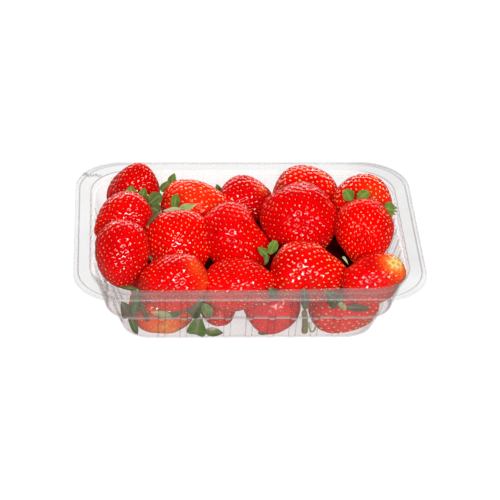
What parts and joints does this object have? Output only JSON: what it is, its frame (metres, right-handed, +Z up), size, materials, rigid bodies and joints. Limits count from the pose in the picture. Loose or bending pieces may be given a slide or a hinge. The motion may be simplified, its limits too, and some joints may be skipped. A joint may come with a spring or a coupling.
{
  "type": "strawberry punnet",
  "caption": "Open clear plastic punnet with a ledged, ribbed wall and a wide flange, heaped with ripe strawberries and their green caps.",
  "frame": {"origin": "on the supporting surface, under the middle of the punnet's outline", "axes": "+X along the punnet's length, +Y from the front to the back, +Z up"},
  "size_m": [0.187, 0.137, 0.0695],
  "materials": {
    "clear_plastic": "clear, glossy, thin",
    "berry_skin": "glossy, seeded",
    "seed": "dry, golden",
    "cap_leaf": "matt green leaf"
  },
  "bodies": {
    "root": {"tray": "clear_plastic", "strawberries": "berry_skin"}
  },
  "joints": []
}
